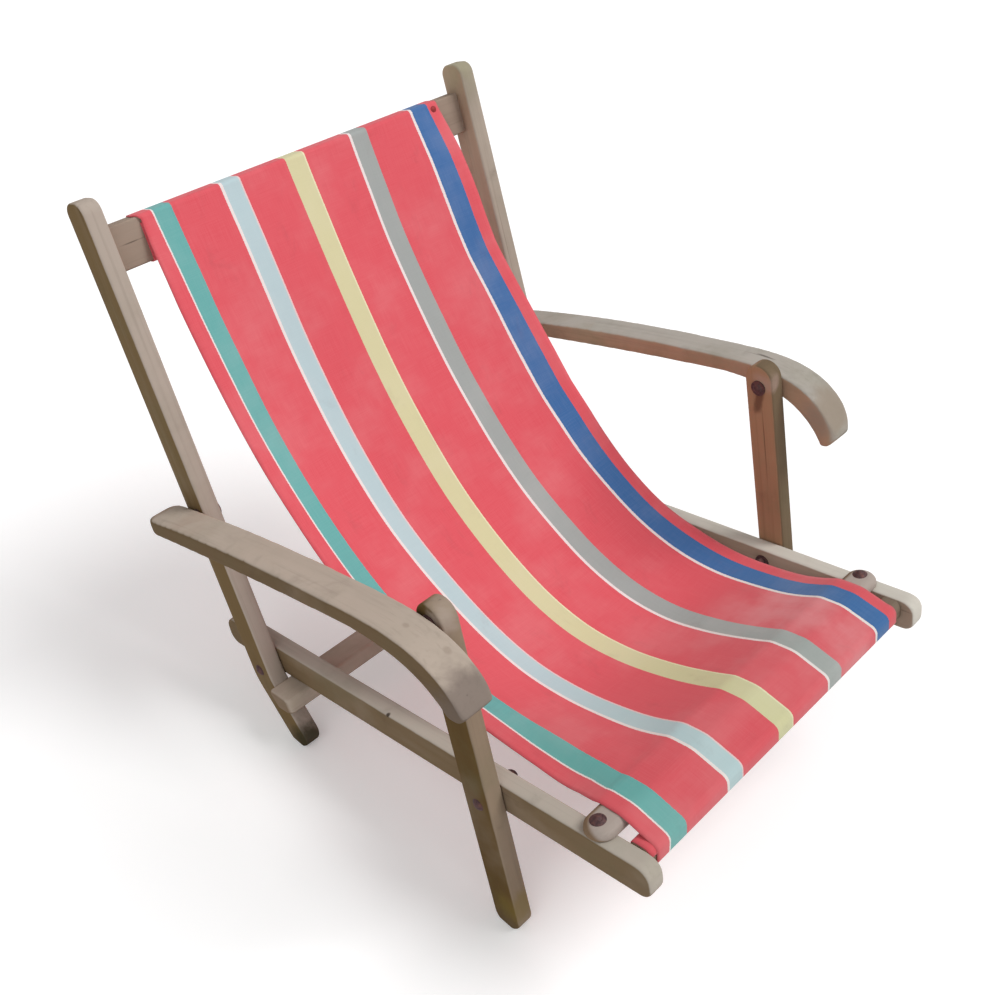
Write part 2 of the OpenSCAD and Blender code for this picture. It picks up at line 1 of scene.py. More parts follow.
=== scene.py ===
"""Looks of a folding deck chair: weathered timber, rusty fittings and a striped canvas sling.

Side views use seat coordinates in millimetres, as the CAD source does: y runs rearward along the top
edge of the seat rails, z stands square to it, and both are zero at the back posts' front edge.
"""
import json

import bmesh
import bpy
import numpy as np
from mathutils import Matrix, Vector

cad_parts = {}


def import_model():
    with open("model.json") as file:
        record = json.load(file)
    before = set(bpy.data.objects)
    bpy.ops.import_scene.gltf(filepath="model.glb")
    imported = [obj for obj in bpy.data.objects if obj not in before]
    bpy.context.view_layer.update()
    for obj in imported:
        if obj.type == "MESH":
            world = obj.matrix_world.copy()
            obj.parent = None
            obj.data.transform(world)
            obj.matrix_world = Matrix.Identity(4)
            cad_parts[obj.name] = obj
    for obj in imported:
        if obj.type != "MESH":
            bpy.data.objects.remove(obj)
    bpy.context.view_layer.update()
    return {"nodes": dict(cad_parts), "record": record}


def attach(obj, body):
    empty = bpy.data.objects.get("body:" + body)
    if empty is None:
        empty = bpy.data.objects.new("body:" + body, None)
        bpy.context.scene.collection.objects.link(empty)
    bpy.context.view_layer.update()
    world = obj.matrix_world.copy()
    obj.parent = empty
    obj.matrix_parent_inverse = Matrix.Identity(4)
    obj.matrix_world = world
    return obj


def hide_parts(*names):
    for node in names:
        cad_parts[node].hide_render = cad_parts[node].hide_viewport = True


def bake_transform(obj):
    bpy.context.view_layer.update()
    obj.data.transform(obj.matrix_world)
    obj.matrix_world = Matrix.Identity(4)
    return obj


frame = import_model()

MM = 0.001
PITCH = np.radians(12.4)            # slope of the seat rails
LIFT = 118.5                        # height of the seat coordinates' zero above the ground
CENTRE = 178.262                    # how far behind the chair's middle it lies
POST_LEAN = 7.07                    # angles in seat coordinates, in degrees
LEG_LEAN = 2.41
ARM_TILT = 2.44


def world(x, y, z):
    """Seat coordinates in mm to the chair's own frame in metres."""
    return Vector((x, y * np.cos(PITCH) + z * np.sin(PITCH) + CENTRE,
                   -y * np.sin(PITCH) + z * np.cos(PITCH) + LIFT)) * MM


def seat(point):
    """The chair's own frame in metres to seat coordinates in mm."""
    x, y, z = (float(v) / MM for v in point)
    y, z = y - CENTRE, z - LIFT
    return x, y * np.cos(PITCH) - z * np.sin(PITCH), y * np.sin(PITCH) + z * np.cos(PITCH)


def on_post(behind, up):
    """A place behind a back post's front edge and up the post, in seat coordinates."""
    a = np.radians(POST_LEAN)
    return np.array([behind * np.cos(a) + up * np.sin(a), up * np.cos(a) - behind * np.sin(a)])


# Camera, fitted to the straight edges of the frame in the photograph

FOCAL_PX = 1219.87
PRINCIPAL_PX = (544.67, 522.68)
IMAGE_PX = (994, 995)
AZIMUTH, ELEVATION, ROLL = np.radians([-42.01, 32.96, -8.94])
EYE = (-792.14, -1116.77, 891.92)   # in seat coordinates


def make_camera():
    to_eye = Vector((np.sin(AZIMUTH) * np.cos(ELEVATION), -np.cos(AZIMUTH) * np.cos(ELEVATION),
                     np.sin(ELEVATION)))
    right = (-to_eye).cross(Vector((0, 0, 1))).normalized()
    up = right.cross(-to_eye)
    cos_roll, sin_roll = float(np.cos(ROLL)), float(np.sin(ROLL))
    axes = (right * cos_roll + up * sin_roll, up * cos_roll - right * sin_roll, to_eye)
    tip = Matrix.Rotation(-PITCH, 3, "X")
    turn = Matrix([tip @ axis for axis in axes]).transposed()
    data = bpy.data.cameras.new("camera")
    data.sensor_fit = "VERTICAL"
    data.sensor_height = 24.0
    data.lens = FOCAL_PX * data.sensor_height / IMAGE_PX[1]
    data.shift_x = (IMAGE_PX[0] / 2 - PRINCIPAL_PX[0]) / IMAGE_PX[1]
    data.shift_y = (PRINCIPAL_PX[1] - IMAGE_PX[1] / 2) / IMAGE_PX[1]
    data.clip_end = 50
    cam = bpy.data.objects.new("camera", data)
    cam.matrix_world = Matrix.Translation(world(*EYE)) @ turn.to_4x4()
    bpy.context.scene.collection.objects.link(cam)
    bpy.context.scene.camera = cam


# Material nodes

class Nodes:
    """Builds one material's node tree."""

    def __init__(self, name):
        self.mat = bpy.data.materials.new(name)
        self.mat.use_nodes = True
        self.tree = self.mat.node_tree
        self.bsdf = self.tree.nodes["Principled BSDF"]

    def add(self, kind, **values):
        node = self.tree.nodes.new(kind)
        for key, value in values.items():
            if hasattr(node, key):
                setattr(node, key, value)
            else:
                self.put(node.inputs[key.replace("_", " ")], value)
        return node

    def put(self, socket, value):
        if isinstance(value, bpy.types.NodeSocket):
            self.tree.links.new(value, socket)
        else:
            socket.default_value = value

    def math(self, op, a, b=0.0, c=0.0, clamp=False):
        node = self.tree.nodes.new("ShaderNodeMath")
        node.operation = op
        node.use_clamp = clamp
        for socket, value in zip(node.inputs, (a, b, c)):
            self.put(socket, value)
        return node.outputs[0]

    def mix(self, factor, a, b, blend="MIX"):
        node = self.tree.nodes.new("ShaderNodeMix")
        node.data_type = "RGBA"
        node.blend_type = blend
        self.put(node.inputs[0], factor)
        self.put(node.inputs[6], a)
        self.put(node.inputs[7], b)
        return node.outputs[2]

    def ramp(self, value, stops, mode="LINEAR"):
        node = self.tree.nodes.new("ShaderNodeValToRGB")
        node.color_ramp.interpolation = mode
        points = node.color_ramp.elements
        while len(points) < len(stops):
            points.new(1.0)
        for point, (where, colour) in zip(points, stops):
            point.position = where
            point.color = colour if len(colour) == 4 else (*colour, 1)
        self.put(node.inputs[0], value)
        return node.outputs[0]

    def surface(self, **values):
        """Sets sockets of the shader."""
        for key, value in values.items():
            self.put(self.bsdf.inputs[key.replace("_", " ")], value)

    def step(self, value, low, high):
        """0 at the value low, 1 at the value high, smooth between them."""
        node = self.tree.nodes.new("ShaderNodeMapRange")
        node.interpolation_type = "SMOOTHSTEP"
        for socket, v in zip(node.inputs, (value, low, high, 0.0, 1.0)):
            self.put(socket, v)
        return node.outputs[0]

    def lay(self, base, colour, value, low, high, share):
        """Lays a share of the colour over the base: none of it at the value low, the whole share at high."""
        return self.mix(self.math("MULTIPLY", self.step(value, low, high), share), base, colour)

    def noise(self, vector, scale, detail=4.0, rough=0.55, distortion=0.0):
        node = self.add("ShaderNodeTexNoise", Vector=vector, Scale=scale, Detail=detail,
                        Roughness=rough, Distortion=distortion)
        return node.outputs["Fac"]

    def stretch(self, vector, scale, rotation=(0, 0, 0), location=(0, 0, 0)):
        node = self.add("ShaderNodeMapping", Vector=vector, Scale=scale, Rotation=rotation,
                        Location=location)
        return node.outputs[0]

    def spot(self, place, centre, size):
        """1 at the centre, falling to 0 at the half sizes."""
        moved = self.add("ShaderNodeVectorMath", operation="SUBTRACT")
        self.put(moved.inputs[0], place)
        self.put(moved.inputs[1], tuple(centre))
        scaled = self.add("ShaderNodeVectorMath", operation="DIVIDE")
        self.put(scaled.inputs[0], moved.outputs[0])
        self.put(scaled.inputs[1], tuple(size))
        far = self.add("ShaderNodeVectorMath", operation="LENGTH")
        self.put(far.inputs[0], scaled.outputs[0])
        return self.math("SUBTRACT", 1.0, far.outputs["Value"], clamp=True)

    def bump(self, height, strength, distance, normal=None):
        node = self.add("ShaderNodeBump", Height=height, Strength=strength, Distance=distance)
        if normal is not None:
            self.put(node.inputs["Normal"], normal)
        return node.outputs[0]


def srgb(red, green, blue):
    """A screen colour, 0 to 255, as the linear values that the nodes take."""
    screen = np.array([red, green, blue]) / 255
    linear = np.where(screen <= 0.04045, screen / 12.92, ((screen + 0.055) / 1.055) ** 2.4)
    return tuple(float(v) for v in linear) + (1.0,)


# Timber

BLEACHED_AND_LIT_FACING = (0.0, -0.6, 0.8)        # the way that the faces with the top colour look: bleached there, and partly painted light
DARK_WOOD = srgb(52, 38, 28)
PALE_WOOD = srgb(196, 182, 170)
CRACK = srgb(48, 36, 28)
ALGAE = srgb(104, 104, 74)


def timber(name, slope, seed, top, outer, inner, side=0, along_x=False, algae=0.15, marks=()):
    """Weathered wood. slope is the board's angle about X from the vertical, so that the grain follows it.
    side is +1 or -1 for the side that the outer colour looks to. A mark is a place, its half sizes in
    metres, a colour and how much of it shows."""
    look = Nodes(name)
    where = look.add("ShaderNodeTexCoord")
    place = where.outputs["Object"]
    turned = look.stretch(place, (1, 1, 1), rotation=(slope, 0, 0), location=(seed, seed * 0.37, seed * 1.7))
    long, thin = (22, 22, 1.2), (240, 240, 4)
    if along_x:
        long, thin = long[::-1], thin[::-1]
    grain = look.noise(look.stretch(turned, long), 1.0, 5, 0.6, 0.5)
    fine = look.noise(look.stretch(turned, thin), 1.0, 3, 0.55, 0.2)
    blotch = look.noise(turned, 7.0, 4, 0.55)
    stain = look.noise(turned, 19.0, 5, 0.6, 0.5)
    crack = look.noise(look.stretch(turned, tuple(0.45 * v for v in thin)), 1.0, 2, 0.5, 0.2)
    green = look.noise(turned, 13.0, 4, 0.6)

    # The top colour goes on faces turned up and to the front, and the outer and inner colours go on the rest.
    # Part of the difference is bleaching. Part is painted light on those faces, and painted shade on the
    # dark, olive outer sides of the left-hand pieces.
    normal = where.outputs["Normal"]
    toward = look.add("ShaderNodeVectorMath", operation="DOT_PRODUCT")
    look.put(toward.inputs[0], normal)
    look.put(toward.inputs[1], BLEACHED_AND_LIT_FACING)
    from_middle = look.math("SUBTRACT", stain, 0.5)
    uneven = look.math("MULTIPLY", from_middle, 0.35)
    bleached_and_lit = look.step(look.math("ADD", toward.outputs["Value"], uneven), 0.25, 0.62)
    flank = outer
    if side:
        across = look.add("ShaderNodeSeparateXYZ", Vector=normal).outputs[0]
        flank = look.mix(look.step(look.math("MULTIPLY", across, side), -0.2, 0.2), inner, outer)

    base = look.mix(bleached_and_lit, flank, top)
    dark = look.mix(0.55, base, DARK_WOOD)
    pale = look.mix(0.4, base, PALE_WOOD)
    shade = look.lay(base, dark, grain, 0.5, 0.25, 0.34)
    shade = look.lay(shade, pale, grain, 0.52, 0.75, 0.30)
    shade = look.lay(shade, dark, fine, 0.50, 0.75, 0.20)
    shade = look.lay(shade, pale, blotch, 0.50, 0.72, 0.35)
    shade = look.lay(shade, dark, stain, 0.56, 0.76, 0.30)
    cracks = look.step(crack, 0.71, 0.77)
    shade = look.mix(look.math("MULTIPLY", cracks, 0.6), shade, CRACK)
    shade = look.lay(shade, ALGAE, green, 0.45, 0.75, algae)
    ragged = look.math("MULTIPLY", from_middle, 1.4)
    for centre, size, tint, share in marks:
        spot = look.math("ADD", look.spot(place, centre, size), ragged)
        shade = look.lay(shade, tint, spot, 0.25, 0.75, share)

    relief = look.math("ADD", look.math("MULTIPLY", grain, 0.6), look.math("MULTIPLY", fine, 0.25))
    relief = look.math("SUBTRACT", relief, cracks)
    look.surface(Base_Color=shade, Roughness=0.82, Specular_IOR_Level=0.2,
                 Normal=look.bump(relief, 0.25, 0.0008))
    return look.mat


# Rusty metal

RUST = [(0.3, srgb(60, 42, 46)), (0.5, srgb(96, 66, 66)), (0.68, srgb(124, 80, 72)), (0.85, srgb(72, 52, 56))]
RED_RUST = [(0.3, srgb(150, 44, 46)), (0.5, srgb(172, 56, 58)), (0.8, srgb(120, 40, 42))]
RUST_PITS = srgb(40, 30, 30)


def rusty(name, seed, colours=RUST):
    look = Nodes(name)
    place = look.add("ShaderNodeTexCoord").outputs["Object"]
    moved = look.stretch(place, (1, 1, 1), location=(seed, seed, seed))
    coarse = look.noise(moved, 170.0, 5, 0.65)
    fine = look.noise(moved, 700.0, 4, 0.6)
    little = look.math("MULTIPLY", fine, 0.3)
    look.surface(Base_Color=look.mix(little, look.ramp(coarse, colours), RUST_PITS), Metallic=0.35,
                 Roughness=look.math("ADD", little, 0.5),
                 Normal=look.bump(look.math("ADD", coarse, fine), 0.4, 0.0005))
    return look.mat


# Canvas: its stripes and weave

HALF = 215.0                        # half of the cloth's width in mm
ACROSS = 87                         # points across the cloth
RAMP_WIDTH = 0.46                   # width that the colour ramp covers, a little wider than the cloth, in m
THREAD = 0.0011                     # spacing of the weave in m
RED = srgb(226, 90, 100)
WHITE = srgb(240, 228, 226)
TEAL = srgb(107, 175, 172)
LIGHT_BLUE = srgb(188, 208, 213)
PINK = srgb(236, 206, 206)
STRAW = srgb(236, 228, 190)
CREAM = srgb(217, 210, 166)
GREY = srgb(164, 168, 166)
BLUE = srgb(66, 111, 168)
# Far edge of each band across the cloth, from the left, in mm from the middle
BANDS = [(-197.5, RED), (-195.0, WHITE), (-174.0, TEAL), (-110.0, RED), (-107.3, WHITE),
         (-85.4, LIGHT_BLUE), (-84.0, PINK), (-21.5, RED), (-19.8, STRAW), (3.8, CREAM),
         (5.5, STRAW), (73.0, RED), (75.7, WHITE), (100.0, GREY), (170.5, RED),
         (173.5, WHITE), (198.5, BLUE), (300.0, RED)]
PALE_THREAD = (1, 0.93, 0.9, 1)
DARK_THREAD = (0.1, 0.03, 0.04, 1)
CLOTH_DIRT = srgb(120, 72, 66)
WORN = (0.87, 0.91, 0.88, 1)


def canvas_material():
    """The stripes follow u, the metres from the cloth's middle, and the wear v, the metres down it."""
    look = Nodes("canvas")
    uv = look.add("ShaderNodeTexCoord").outputs["UV"]
    parts = look.add("ShaderNodeSeparateXYZ", Vector=uv)
    u, v = parts.outputs[0], parts.outputs[1]
    stray = look.math("SUBTRACT", look.noise(look.stretch(uv, (300, 900, 1)), 1.0, 2), 0.5)
    ragged = look.math("MULTIPLY", stray, 0.0016)
    across = look.math("MULTIPLY_ADD", look.math("ADD", u, ragged), 1 / RAMP_WIDTH, 0.5)
    stops = [(0.0, BANDS[0][1])]
    for (edge, _), (_, colour) in zip(BANDS[:-1], BANDS[1:]):
        stops.append((edge * MM / RAMP_WIDTH + 0.5, colour))
    shade = look.ramp(across, stops, "CONSTANT")

    warp = look.noise(look.stretch(uv, (1500, 25, 1)), 1.0, 2)
    weft = look.noise(look.stretch(uv, (25, 1500, 1)), 1.0, 2)
    threads = look.math("ADD", warp, weft)
    shade = look.lay(shade, look.mix(0.5, shade, PALE_THREAD), threads, 0.85, 1.25, 0.05)
    shade = look.lay(shade, look.mix(0.5, shade, DARK_THREAD), threads, 1.1, 0.75, 0.04)
    fade = look.noise(uv, 9.0, 4, 0.6)
    shade = look.lay(shade, look.mix(0.17, shade, WHITE), fade, 0.42, 0.7, 0.4)
    dirt = look.noise(look.stretch(uv, (30, 16, 1)), 1.0, 5, 0.65, 0.5)
    shade = look.lay(shade, CLOTH_DIRT, dirt, 0.55, 0.8, 0.14)
    shade = look.mix(look.step(v, 0.80, 0.95), shade, WORN, "MULTIPLY")
    far_side = look.math("MULTIPLY", look.step(u, 0.02, 0.16), look.step(u, 0.172, 0.17))
    sunned = look.math("MULTIPLY", look.step(v, 0.86, 0.97), far_side)
    shade = look.lay(shade, look.mix(0.16, shade, WHITE), fade, 0.3, 0.6, sunned)

    weave_u = look.math("SINE", look.math("MULTIPLY", u, 2 * np.pi / THREAD))
    weave_v = look.math("SINE", look.math("MULTIPLY", v, 2 * np.pi / THREAD))
    weave = look.math("MULTIPLY", weave_u, weave_v)
    height = look.math("ADD", look.math("MULTIPLY", weave, 0.25), threads)
    slack = look.noise(look.stretch(uv, (14, 9, 1)), 1.0, 3, 0.55, 0.3)
    rough = look.bump(height, 0.2, 0.0003)
    look.surface(Base_Color=shade, Roughness=0.9, Specular_IOR_Level=0.15, Sheen_Weight=0.15,
                 Sheen_Roughness=0.5, Normal=look.bump(slack, 0.25, 0.004, rough))
    return look.mat


# Canvas: its line in the side view

def bezier(points, steps):
    t = np.linspace(0, 1, steps + 1)[:, None]
    p = [np.asarray(point, float) for point in points]
    return (1 - t) ** 3 * p[0] + 3 * (1 - t) ** 2 * t * p[1] + 3 * (1 - t) * t * t * p[2] + t ** 3 * p[3]


def arc(centre, radius, start, end, steps=5):
    turned = np.radians(np.linspace(start, end, steps))
    return np.c_[centre[0] + radius * np.cos(turned), centre[1] + radius * np.sin(turned)]


def line(a, b, steps):
    t = np.linspace(0, 1, steps + 1)[:, None]
    return np.asarray(a, float) * (1 - t) + np.asarray(b, float) * t


LIE = 0.9                           # middle of the cloth above the wood that it lies on, in mm
EDGE_R = 2                          # radius of the two rails' edges
RAIL_FRONT, RAIL_BACK = 17.5, 37.0  # the top rail's section, behind a post's front edge
RAIL_LOW, RAIL_HIGH = 477.0, 525.0  # and up the post
TURN = np.array([-90.0, 136.0])     # where the back of the sling turns into the seat
TURN_SLOPE = 52                     # its slope there, in degrees
BAR_FRONT, BAR_TOP = -529.0, 12.6   # the front crossbar's front edge and top
BACK_R = 34.0                       # the cloth's turn over the crossbar's rear edge
BACK_SLOPE = 67                     # angle round that turn where the sling ends
BAR_BACK = np.array([-500.5, 13.5 - BACK_R])
SLING_END = BAR_BACK + BACK_R * np.array([np.cos(np.radians(BACK_SLOPE)), np.sin(np.radians(BACK_SLOPE))])
FRONT_R = 38.0                      # its turn over the crossbar's front edge
LEAVE_SLOPE = 113                   # angle round both turns where it leaves for the front rail
NOSE, NOSE_R = (-557.0, -10.2), 9.0         # the front rail's upper round edge: middle and radius
NOSE_TOP, NOSE_LOW = -1.2, -27.2            # that rail's top and underside
NOSE_BACK = -543.0                          # and its rear side
# How far the sling stands towards the sitter from its mean line, in mm: a row for each distance down the
# sling, and a column for each of the stations across it
STATIONS = [-215, -197, -174, -110, -21, 73, 170, 215]
ROWS = [0, 60, 120, 180, 240, 300, 360, 420, 480, 540, 600, 660, 720, 780, 840, 871]
STAND = [
    [0, 0, 0, 0, 0, 0, 0, 0],
    [4, 2, 1, 1, 1, -1, 4, 12],
    [3, 1, -1, -2, 0, -4, 6, 19],
    [2, 0, -2, -7, -2, -4, 7, 19],
    [2, -1, -4, -10, -5, -4, 10, 21],
    [4, 1, -3, -12, -7, -4, 11, 26],
    [9, 5, 0, -12, -8, -3, 12, 29],
    [13, 9, 4, -11, -10, -4, 12, 28],
    [17, 13, 8, -7, -11, -6, 9, 22],
    [21, 18, 13, -4, -13, -8, 7, 15],
    [25, 23, 19, -3, -15, -12, 3, 10],
    [28, 27, 23, -2, -13, -13, 1, 10],
    [28, 27, 25, 2, -6, -9, 2, 8],
    [20, 18, 22, 4, 0, -2, 4, 6],
    [3, 4, 8, 1, 1, 1, 1, 1],
    [0, 0, 0, 0, 0, 0, 0, 0],
]
# How far the cloth's near edge stands out to the left and its far edge to the right, in mm, by the
# distance down the sling: the loop round the top rail, the sling, the crossbar and the front rail
EDGE_AT = [-100, -30, -12, 0, 30, 60, 95, 140, 185, 230, 270, 340, 390, 440, 846, 871, 908, 955, 990, 1020]
TOP_END = 400                       # above this distance only the outermost 15 mm of the near edge stand out
NEAR_OUT = [-3, -1, 2, -4.5, -2, -1, 0, 0, 0, 0, 0, 0, 0, 0, 0, 4.0, 5.0, 5.5, 10, 14]
FAR_OUT = [0, 0, 0, 0, 2, 3, 1, -3, -4.5, -1.5, 0, -1, -3, -1, 0, 0, 0, 2, 3, 3]


def cubic(x, xs, ys):
    """Smooth curve through the points, with slopes from their neighbours."""
    xs, ys = np.asarray(xs, float), np.asarray(ys, float)
    slope = np.gradient(ys, xs, axis=0)
    i = np.clip(np.searchsorted(xs, x) - 1, 0, len(xs) - 2)
    h = xs[i + 1] - xs[i]
    t = np.clip((x - xs[i]) / h, 0, 1)
    return ((1 + 2 * t) * (1 - t) ** 2 * ys[i] + t * (1 - t) ** 2 * h * slope[i]
            + t * t * (3 - 2 * t) * ys[i + 1] + t * t * (t - 1) * h * slope[i + 1])


def top_loop():
    """The loop round the top rail: down its front, under it, up its rear side and over it to the front."""
    turn = EDGE_R + LIE
    loop = np.vstack([
        line((RAIL_FRONT - LIE, RAIL_HIGH - 7), (RAIL_FRONT - LIE, RAIL_LOW + EDGE_R), 8),
        arc((RAIL_FRONT + EDGE_R, RAIL_LOW + EDGE_R), turn, 180, 270),
        line((RAIL_FRONT + 3, RAIL_LOW - LIE), (RAIL_BACK - 3, RAIL_LOW - LIE), 3),
        arc((RAIL_BACK - EDGE_R, RAIL_LOW + EDGE_R), turn, 270, 360),
        line((RAIL_BACK + LIE, RAIL_LOW + 4), (RAIL_BACK + LIE, RAIL_HIGH - 4), 8),
        arc((RAIL_BACK - EDGE_R, RAIL_HIGH - EDGE_R), turn, 0, 90),
        line((RAIL_BACK - 4, RAIL_HIGH + LIE), (RAIL_FRONT + 4, RAIL_HIGH + LIE), 3),
        arc((RAIL_FRONT + EDGE_R, RAIL_HIGH - 3.5), 4.4, 90, 175, 6)])
    return np.array([on_post(*point) for point in loop])


def sling_line():
    """The sling's mean line: the back, then the seat as far as the crossbar's rear edge."""
    top = on_post(RAIL_FRONT - 2.4, RAIL_HIGH - 4)
    fall = top[1] - TURN[1]
    run = TURN[0] - SLING_END[0]
    along = np.array([np.cos(np.radians(TURN_SLOPE)), np.sin(np.radians(TURN_SLOPE))])
    back = [top, top + [-18, -0.2 * fall], TURN + 0.37 * fall * along, TURN + 3 * along]
    seat_part = [TURN - 3 * along, TURN - 0.31 * run * along, [SLING_END[0] + 0.43 * run, -60], SLING_END]
    return np.vstack([bezier(back, 84), bezier(seat_part, 92)])


def front_wrap():
    """Over the front crossbar, down to the front rail, round it and back on top of it, under itself."""
    bend = np.array([BAR_FRONT + 12, BAR_TOP + LIE - FRONT_R])
    leave = arc(bend, FRONT_R, 90, LEAVE_SLOPE, 9)
    land = arc(NOSE, NOSE_R + LIE, LEAVE_SLOPE, 180, 9)
    turn = EDGE_R + LIE
    return np.vstack([
        arc(BAR_BACK, BACK_R, BACK_SLOPE, 90, 7)[1:],
        line(BAR_BACK + [-3, BACK_R], bend + [3, FRONT_R], 5),
        leave, line(leave[-1], land[0], 10)[1:-1], land,
        arc((NOSE[0], NOSE_LOW + 9), NOSE_R + LIE, 180, 270, 8)[1:],
        line((-553, NOSE_LOW - LIE), (-548, NOSE_LOW - LIE), 2),
        arc((NOSE_BACK - EDGE_R, NOSE_LOW + EDGE_R), turn, 270, 360, 5),
        line((NOSE_BACK + LIE, -21), (NOSE_BACK + LIE, -7), 4),
        arc((NOSE_BACK - EDGE_R, NOSE_TOP - EDGE_R), turn, 0, 90, 5),
        line((-547, NOSE_TOP + LIE), (-554, NOSE_TOP + LIE), 3),
        arc(NOSE, 9.4, 102, 175, 7)])


def cloth_path():
    """The cloth's line, the distance down it, that distance from the sling's start, and where in the line
    the sling starts and ends."""
    loop, sling = top_loop(), sling_line()
    path = np.vstack([loop, sling, front_wrap()])
    down = np.r_[0, np.cumsum(np.linalg.norm(np.diff(path, axis=0), axis=1))]
    return path, down, down - down[len(loop)], (len(loop), len(loop) + len(sling))


# Canvas: the cloth

def cloth_widths(xs, reach):
    """Where the points across the cloth lie, for each distance down the sling."""
    at_top = np.interp(xs, [-HALF, -200], [1, 0])
    near = np.interp(xs, [-HALF, -197, -174, -120], [1, 1.15, 0.55, 0])
    far = np.interp(xs, [120, HALF], [0, 1])
    return np.array([xs - np.interp(s, EDGE_AT, NEAR_OUT) * (at_top if s < TOP_END else near)
                     + np.interp(s, EDGE_AT, FAR_OUT) * far for s in reach])


def cloth_points():
    """Rows of points down the cloth, the distance of each row, and the places across it."""
    path, down, along, (first, last) = cloth_path()
    tangent = np.gradient(path, axis=0)
    tangent /= np.linalg.norm(tangent, axis=1)[:, None]
    normal = np.c_[tangent[:, 1], -tangent[:, 0]]
    reach = along * ROWS[-1] / along[last - 1]
    stands = np.array([cubic(s, ROWS, np.array(STAND)) for s in np.clip(reach, 0, ROWS[-1])])
    xs = np.linspace(-HALF, HALF, ACROSS)
    rows = []
    for i, (row, (y, z)) in enumerate(zip(cloth_widths(xs, reach), path)):
        on_sling = first <= i < last
        lift = np.array([cubic(x, STATIONS, stands[i]) for x in xs]) if on_sling else np.zeros(len(xs))
        rows.append([world(x, y + normal[i, 0] * h, z + normal[i, 1] * h) for x, h in zip(row, lift)])
    return rows, down, xs


def make_canvas():
    rows, down, xs = cloth_points()
    mesh = bmesh.new()
    uv = mesh.loops.layers.uv.new("UVMap")
    grid = [[mesh.verts.new(point) for point in row] for row in rows]
    for i in range(len(rows) - 1):
        for j in range(len(xs) - 1):
            corners = ((i, j), (i, j + 1), (i + 1, j + 1), (i + 1, j))
            face = mesh.faces.new([grid[a][b] for a, b in corners])
            for loop, (a, b) in zip(face.loops, corners):
                loop[uv].uv = (xs[b] * MM, down[a] * MM)
            face.smooth = True
    data = bpy.data.meshes.new("canvas_cloth")
    mesh.to_mesh(data)
    mesh.free()
    cloth = bpy.data.objects.new("canvas_cloth", data)
    bpy.context.scene.collection.objects.link(cloth)
    thick = cloth.modifiers.new("thickness", "SOLIDIFY")
    thick.thickness = 1.2 * MM
    thick.offset = 0.0
    bake(cloth)
    cloth.data.materials.append(canvas_material())
    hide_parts("canvas_sling", "canvas_front_wrap", "canvas_top_wrap")
    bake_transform(cloth)


def bake(obj):
    """Applies the object's modifiers to its mesh."""
    graph = bpy.context.evaluated_depsgraph_get()
    done = bpy.data.meshes.new_from_object(obj.evaluated_get(graph))
    obj.modifiers.clear()
    obj.data = done


# Finishes of the CAD nodes

def paint(node, material):
    obj = frame["nodes"][node]
    obj.data.materials.clear()
    obj.data.materials.append(material)


ARM_MIDDLE = 297                    # middle of an armrest's width, in mm from the chair's middle
ARM_REACH = 24                      # half of the width that the tail's swell covers
TAIL_SWELL = 6
TAIL_FROM, TAIL_RUN = 60, 16        # where the swell begins, and the length over which it grows


def full_tail(point):
    """Fills out the middle of an armrest's rear end."""
    x, y, z = seat(point)
    swell = TAIL_SWELL * np.clip((y - TAIL_FROM) / TAIL_RUN, 0, 1)
    return world(x, y + swell * (1 - ((abs(x) - ARM_MIDDLE) / ARM_REACH) ** 2), z)


def rounded(node, body, slot, radius, material, cuts=()):
    """A copy of a board with its long edges worn round, in the board's place. A radius of two numbers is for
    the edges of the board's top and bottom, and none is for a board worn all over. A cut is a point and a
    direction in seat coordinates, and the wood beyond the point is worn away."""
    is_arm = node.startswith("arm")
    mesh = bmesh.new()
    mesh.from_mesh(frame["nodes"][node].data)
    bmesh.ops.remove_doubles(mesh, verts=mesh.verts, dist=1e-5)
    if is_arm:
        for vert in mesh.verts:
            vert.co = full_tail(vert.co)
    for point, direction in cuts:
        square = (world(*direction) - world(0, 0, 0)).normalized()
        bmesh.ops.bisect_plane(mesh, geom=mesh.verts[:] + mesh.edges[:] + mesh.faces[:], dist=1e-6,
                               plane_co=world(*point), plane_no=square, clear_outer=True)
        bmesh.ops.holes_fill(mesh, edges=[e for e in mesh.edges if e.is_boundary], sides=0)
    piece = bpy.data.objects.new(node + "_worn", bpy.data.meshes.new(node + "_worn"))
    bpy.context.scene.collection.objects.link(piece)
    if radius is None:
        mesh.to_mesh(piece.data)
        soften(piece, PITCH + (np.radians(ARM_TILT) if is_arm else 0))
    else:
        bevel_outline(mesh, radius)
        mesh.to_mesh(piece.data)
    mesh.free()
    piece.data.shade_smooth()
    piece.data.set_sharp_from_angle(angle=np.radians(50 if radius is None else 32))
    piece.data.materials.append(material)
    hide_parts(node)
    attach(piece, body)


def soften(piece, slope):
    """Wears every edge and corner of a board round. The board lies level meanwhile, along the voxels."""
    level = Matrix.Rotation(slope, 4, "X")
    piece.data.transform(level)
    remesh = piece.modifiers.new("remesh", "REMESH")
    remesh.mode = "VOXEL"
    remesh.voxel_size = 1.0 * MM
    smooth = piece.modifiers.new("smooth", "SMOOTH")
    smooth.factor = 0.5
    smooth.iterations = 80
    thin = piece.modifiers.new("thin", "DECIMATE")
    thin.ratio = 0.2
    bake(piece)
    piece.data.transform(level.inverted())


def sharp_chains(mesh):
    """The mesh's sharp edges, in chains that hang together."""
    sharp = {e for e in mesh.edges if len(e.link_faces) == 2 and e.calc_face_angle() > np.radians(40)}
    while sharp:
        chain, todo = [], [sharp.pop()]
        while todo:
            edge = todo.pop()
            chain.append(edge)
            for other in [link for vert in edge.verts for link in vert.link_edges]:
                if other in sharp:
                    sharp.remove(other)
                    todo.append(other)
        yield chain


RIM_MAX = 0.06                      # edges that reach less far, in m, are the rim of a bore or mortise


